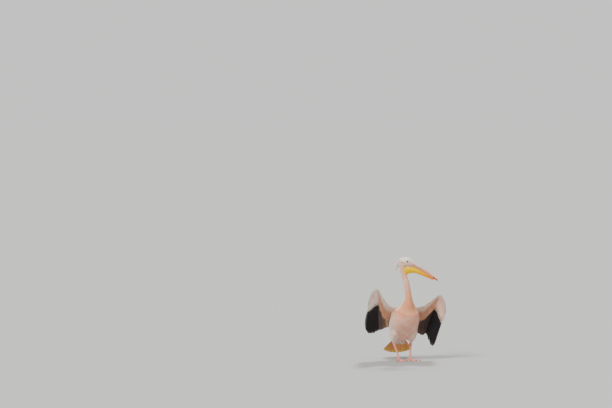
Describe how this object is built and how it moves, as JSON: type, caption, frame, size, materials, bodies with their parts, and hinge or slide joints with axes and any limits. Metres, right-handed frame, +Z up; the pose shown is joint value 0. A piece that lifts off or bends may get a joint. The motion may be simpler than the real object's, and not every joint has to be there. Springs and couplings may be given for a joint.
{
  "type": "standing pelican figure",
  "caption": "Life-size white pelican standing with its wings half open to dry and its head turned to its left.",
  "frame": {"origin": "on the floor, under the middle of the outline seen from above", "axes": "the bird faces -Y, its left side is towards +X, and +Z is up"},
  "size_m": [0.9133, 0.6704, 1.187],
  "materials": {
    "plumage_white": "soft matt white feathers with a pale peach blush",
    "plumage_blush": "soft matt peach feathers",
    "flight_grey": "satin dark grey-brown flight feathers with paler edges",
    "flight_black": "satin near-black flight feathers",
    "bill_horn": "satin pale blue-grey horn with pinkish edges",
    "bill_nail_red": "satin red-orange horn",
    "pouch_skin": "soft yellow wrinkled skin",
    "leg_skin": "pale pink scaly skin",
    "eye_dark": "wet dark brown eye",
    "claw_horn": "dark horn"
  },
  "bodies": {
    "root": {"bill_lower": "bill_horn", "bill_nail": "bill_nail_red", "bill_upper": "bill_horn", "claw_left_1": "claw_horn", "claw_left_2": "claw_horn", "claw_left_3": "claw_horn", "claw_left_4": "claw_horn", "claw_right_1": "claw_horn", "claw_right_2": "claw_horn", "claw_right_3": "claw_horn", "claw_right_4": "claw_horn", "crest": "plumage_white", "eye_left": "eye_dark", "eye_right": "eye_dark", "foot_left": "leg_skin", "foot_right": "leg_skin", "head": "plumage_white", "neck_lower": "plumage_blush", "neck_upper": "plumage_white", "pouch": "pouch_skin", "primaries_left": "flight_black", "primaries_right": "flight_black", "secondaries_left": "flight_grey", "secondaries_right": "flight_grey", "shank_left": "leg_skin", "shank_right": "leg_skin", "tail_fan": "plumage_blush", "tail_root": "plumage_white", "tertials_left": "plumage_white", "tertials_right": "plumage_white", "thigh_left": "plumage_white", "thigh_right": "plumage_white", "trunk": "plumage_white", "wing_arm_left": "plumage_white", "wing_arm_right": "plumage_white", "wing_hand_left": "plumage_white", "wing_hand_right": "plumage_white"}
  },
  "joints": []
}
